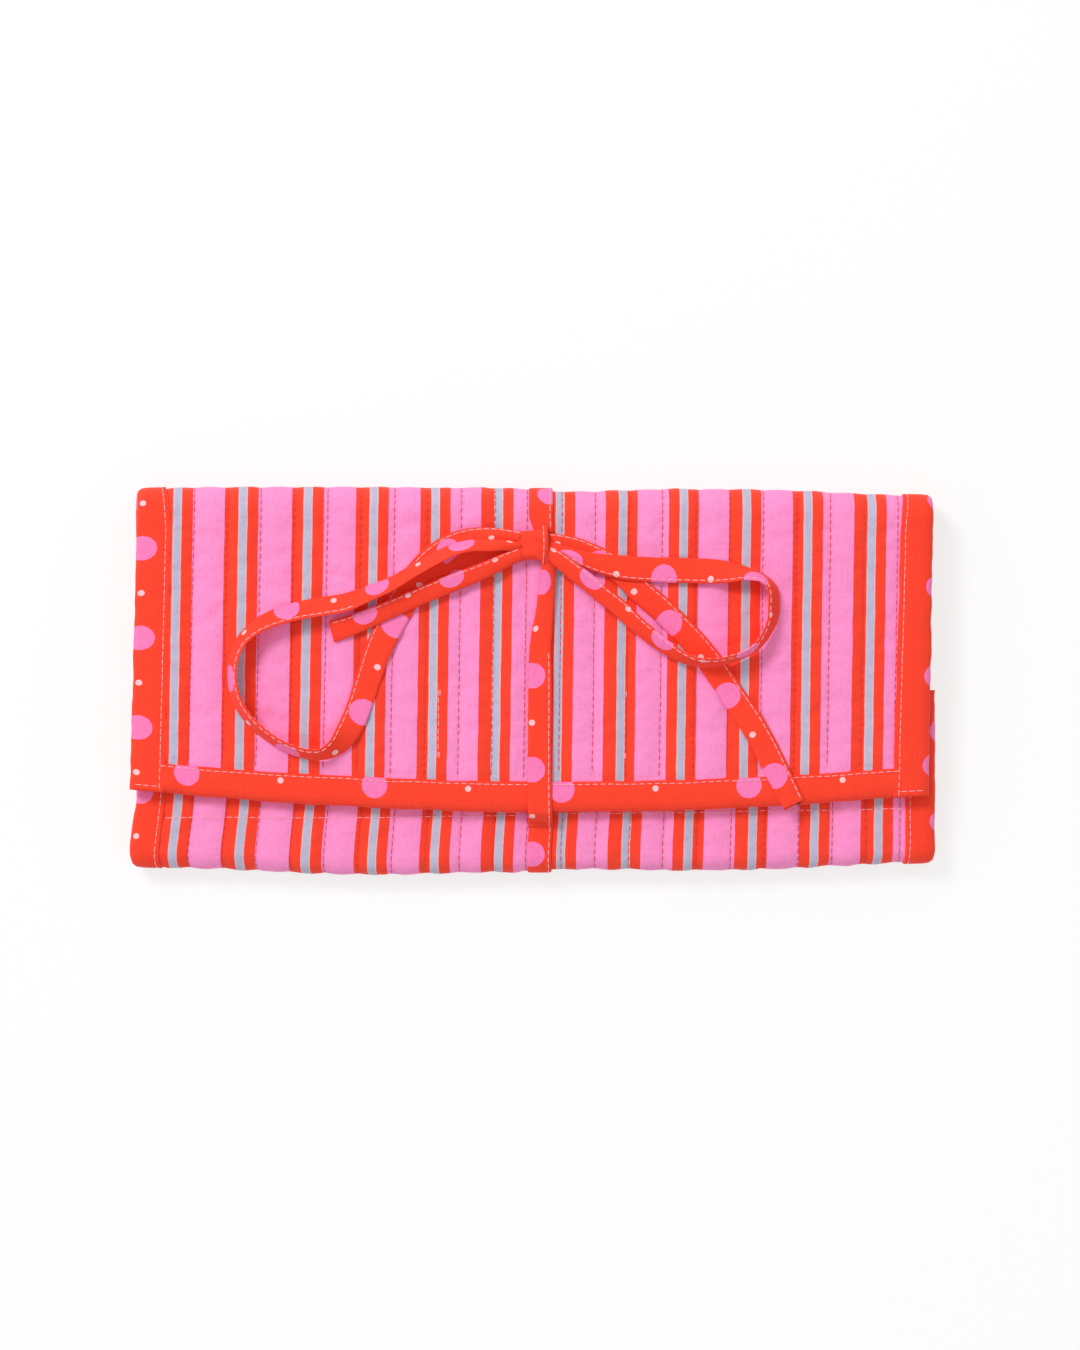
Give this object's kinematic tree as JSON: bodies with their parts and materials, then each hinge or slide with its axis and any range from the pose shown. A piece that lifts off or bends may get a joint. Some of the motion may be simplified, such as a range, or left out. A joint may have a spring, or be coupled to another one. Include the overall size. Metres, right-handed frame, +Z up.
{
  "type": "jewelry roll",
  "caption": "Quilted striped cotton jewelry roll, folded shut and tied with a flat cloth bow; inside are a slip pocket, a zip pocket and a padded ring bar.",
  "frame": {"origin": "on the table under the middle of the folded roll", "axes": "+X along the folds, to the right in the picture; +Y from the bottom fold to the top fold; +Z up from the table"},
  "size_m": [0.265, 0.127, 0.0258],
  "materials": {
    "striped_cloth": "striped cotton, channel quilted",
    "wadding": "loose polyester wadding",
    "dotted_cloth": "dotted cotton",
    "zip_tape": "woven tape",
    "zip_teeth": "moulded",
    "brass": "polished"
  },
  "bodies": {
    "back": {"back_outer_cloth": "striped_cloth", "back_wadding": "wadding", "back_lining": "dotted_cloth", "back_binding_left": "dotted_cloth", "back_binding_right": "dotted_cloth", "tie_back_band": "dotted_cloth", "press_stud": "brass"},
    "top_spine": {"top_fold_outer_cloth": "striped_cloth", "top_fold_wadding": "wadding", "top_fold_lining": "dotted_cloth", "top_fold_binding_left": "dotted_cloth", "top_fold_binding_right": "dotted_cloth", "tie_top_fold_band": "dotted_cloth"},
    "bottom_spine": {"bottom_fold_outer_cloth": "striped_cloth", "bottom_fold_wadding": "wadding", "bottom_fold_lining": "dotted_cloth", "bottom_fold_binding_left": "dotted_cloth", "bottom_fold_binding_right": "dotted_cloth", "tie_bottom_fold_band": "dotted_cloth"},
    "flap": {"flap_outer_cloth": "striped_cloth", "flap_wadding": "wadding", "flap_lining": "dotted_cloth", "flap_binding_left": "dotted_cloth", "flap_binding_right": "dotted_cloth", "flap_end_binding": "dotted_cloth", "slip_pocket_panel": "dotted_cloth", "slip_pocket_hem": "striped_cloth", "slip_pocket_seams": "dotted_cloth", "tie_top_band": "dotted_cloth", "tie_front_band": "dotted_cloth", "bow_knot": "dotted_cloth", "left_loop": "dotted_cloth", "right_loop": "dotted_cloth"},
    "leaf": {"leaf_outer_cloth": "striped_cloth", "leaf_wadding": "wadding", "leaf_lining": "dotted_cloth", "leaf_binding_left": "dotted_cloth", "leaf_binding_right": "dotted_cloth", "leaf_end_binding": "dotted_cloth", "zip_pocket_panel": "dotted_cloth", "zip_pocket_seams": "dotted_cloth", "zip_tape_upper": "zip_tape", "zip_tape_lower": "zip_tape", "zip_teeth_upper": "zip_teeth", "zip_teeth_lower": "zip_teeth", "zip_stop_left": "brass", "zip_stop_right": "brass", "tie_leaf_band": "dotted_cloth"},
    "slider": {"zip_slider": "brass", "zip_bail": "brass"},
    "pull": {"zip_pull": "brass"},
    "bar": {"ring_bar": "dotted_cloth", "press_socket": "brass", "press_cap": "brass"},
    "left_tail_end": {"left_tail": "dotted_cloth"},
    "right_tail_end": {"right_tail": "dotted_cloth"}
  },
  "joints": [
    {"name": "flap_fold_lower", "type": "hinge", "parent": "back", "child": "top_spine", "pos_m": [0, 0.06106, 0.00244], "axis": [-1, 0, 0], "range_deg": [0, 84], "deforming": ["top_fold_outer_cloth", "top_fold_wadding", "top_fold_lining", "top_fold_binding_left", "top_fold_binding_right", "tie_top_fold_band"]},
    {"name": "flap_fold_upper", "type": "hinge", "parent": "top_spine", "child": "flap", "pos_m": [0, 0.06106, 0.01446], "axis": [-1, 0, 0], "range_deg": [0, 84]},
    {"name": "leaf_fold_lower", "type": "hinge", "parent": "back", "child": "bottom_spine", "pos_m": [0, -0.06163, 0.00187], "axis": [1, 0, 0], "range_deg": [0, 90], "deforming": ["bottom_fold_outer_cloth", "bottom_fold_wadding", "bottom_fold_lining", "bottom_fold_binding_left", "bottom_fold_binding_right", "tie_bottom_fold_band"]},
    {"name": "leaf_fold_upper", "type": "hinge", "parent": "bottom_spine", "child": "leaf", "pos_m": [0, -0.06163, 0.00973], "axis": [1, 0, 0], "range_deg": [0, 90]},
    {"name": "zip_slide", "type": "slide", "parent": "leaf", "child": "slider", "axis": [1, 0, 0], "range_m": [0, 0.185]},
    {"name": "pull_swing", "type": "hinge", "parent": "slider", "child": "pull", "pos_m": [-0.0964, -0.0235, 0.00425], "axis": [0, 1, 0], "range_deg": [0, 20]},
    {"name": "bar_lift", "type": "hinge", "parent": "back", "child": "bar", "pos_m": [-0.084, 0.024, 0.0039], "axis": [0, -1, 0], "range_deg": [0, 27]},
    {"name": "left_tail_pull", "type": "slide", "parent": "flap", "child": "left_tail_end", "axis": [-0.92, -0.392, 0], "range_m": [0, 0.04], "deforming": ["left_loop"]},
    {"name": "right_tail_pull", "type": "slide", "parent": "flap", "child": "right_tail_end", "axis": [0.6, -0.8, 0], "range_m": [0, 0.045], "deforming": ["right_loop"]}
  ],
  "couplings": [
    {"joint": "flap_fold_upper", "follows": "flap_fold_lower", "ratio": 1},
    {"joint": "leaf_fold_lower", "follows": "flap_fold_lower", "ratio": 1.0714},
    {"joint": "leaf_fold_upper", "follows": "flap_fold_lower", "ratio": 1.0714},
    {"joint": "pull_swing", "follows": "flap_fold_lower", "ratio": 0.238},
    {"joint": "bar_lift", "follows": "flap_fold_lower", "ratio": 0.32}
  ]
}
